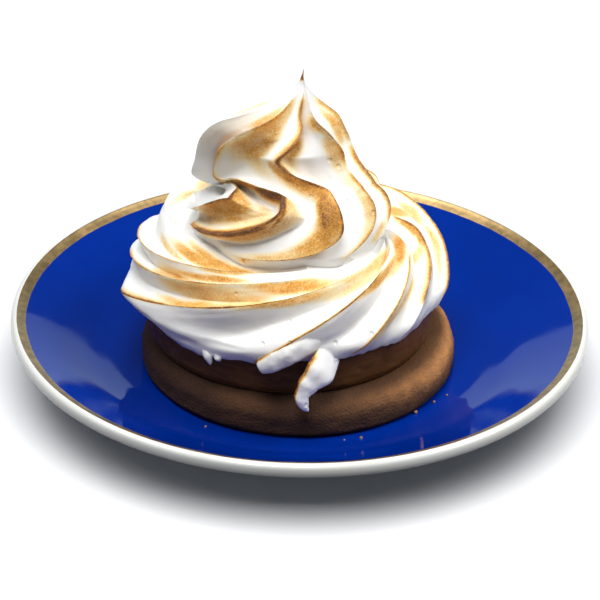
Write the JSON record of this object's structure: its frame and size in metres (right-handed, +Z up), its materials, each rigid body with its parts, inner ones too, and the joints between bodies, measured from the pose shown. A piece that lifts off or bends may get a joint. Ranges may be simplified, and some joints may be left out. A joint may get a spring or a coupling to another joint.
{
  "type": "lemon meringue pie on a plate",
  "caption": "Small round lemon pie on a side plate: a thick biscuit base, a layer of lemon curd and a tall piped swirl of toasted meringue drawn to a peak.",
  "frame": {"origin": "middle of the plate's foot ring, on the surface that it stands on", "axes": "+Z up, -Y towards the front of the pie, where the drip of meringue hangs, +X to its right"},
  "size_m": [0.16, 0.16, 0.0962],
  "materials": {
    "glazed_plate": "glossy cobalt blue glazed ceramic with a gold band and a white lip and underside",
    "baked_biscuit": "matt brown baked shortcrust, darker at the foot",
    "set_curd": "satin amber brown set lemon curd",
    "toasted_meringue": "satin white meringue, torched tan to dark brown along the ridges"
  },
  "bodies": {
    "root": {"plate": "glazed_plate", "crust": "baked_biscuit", "lemon_curd": "set_curd", "meringue": "toasted_meringue"}
  },
  "joints": []
}
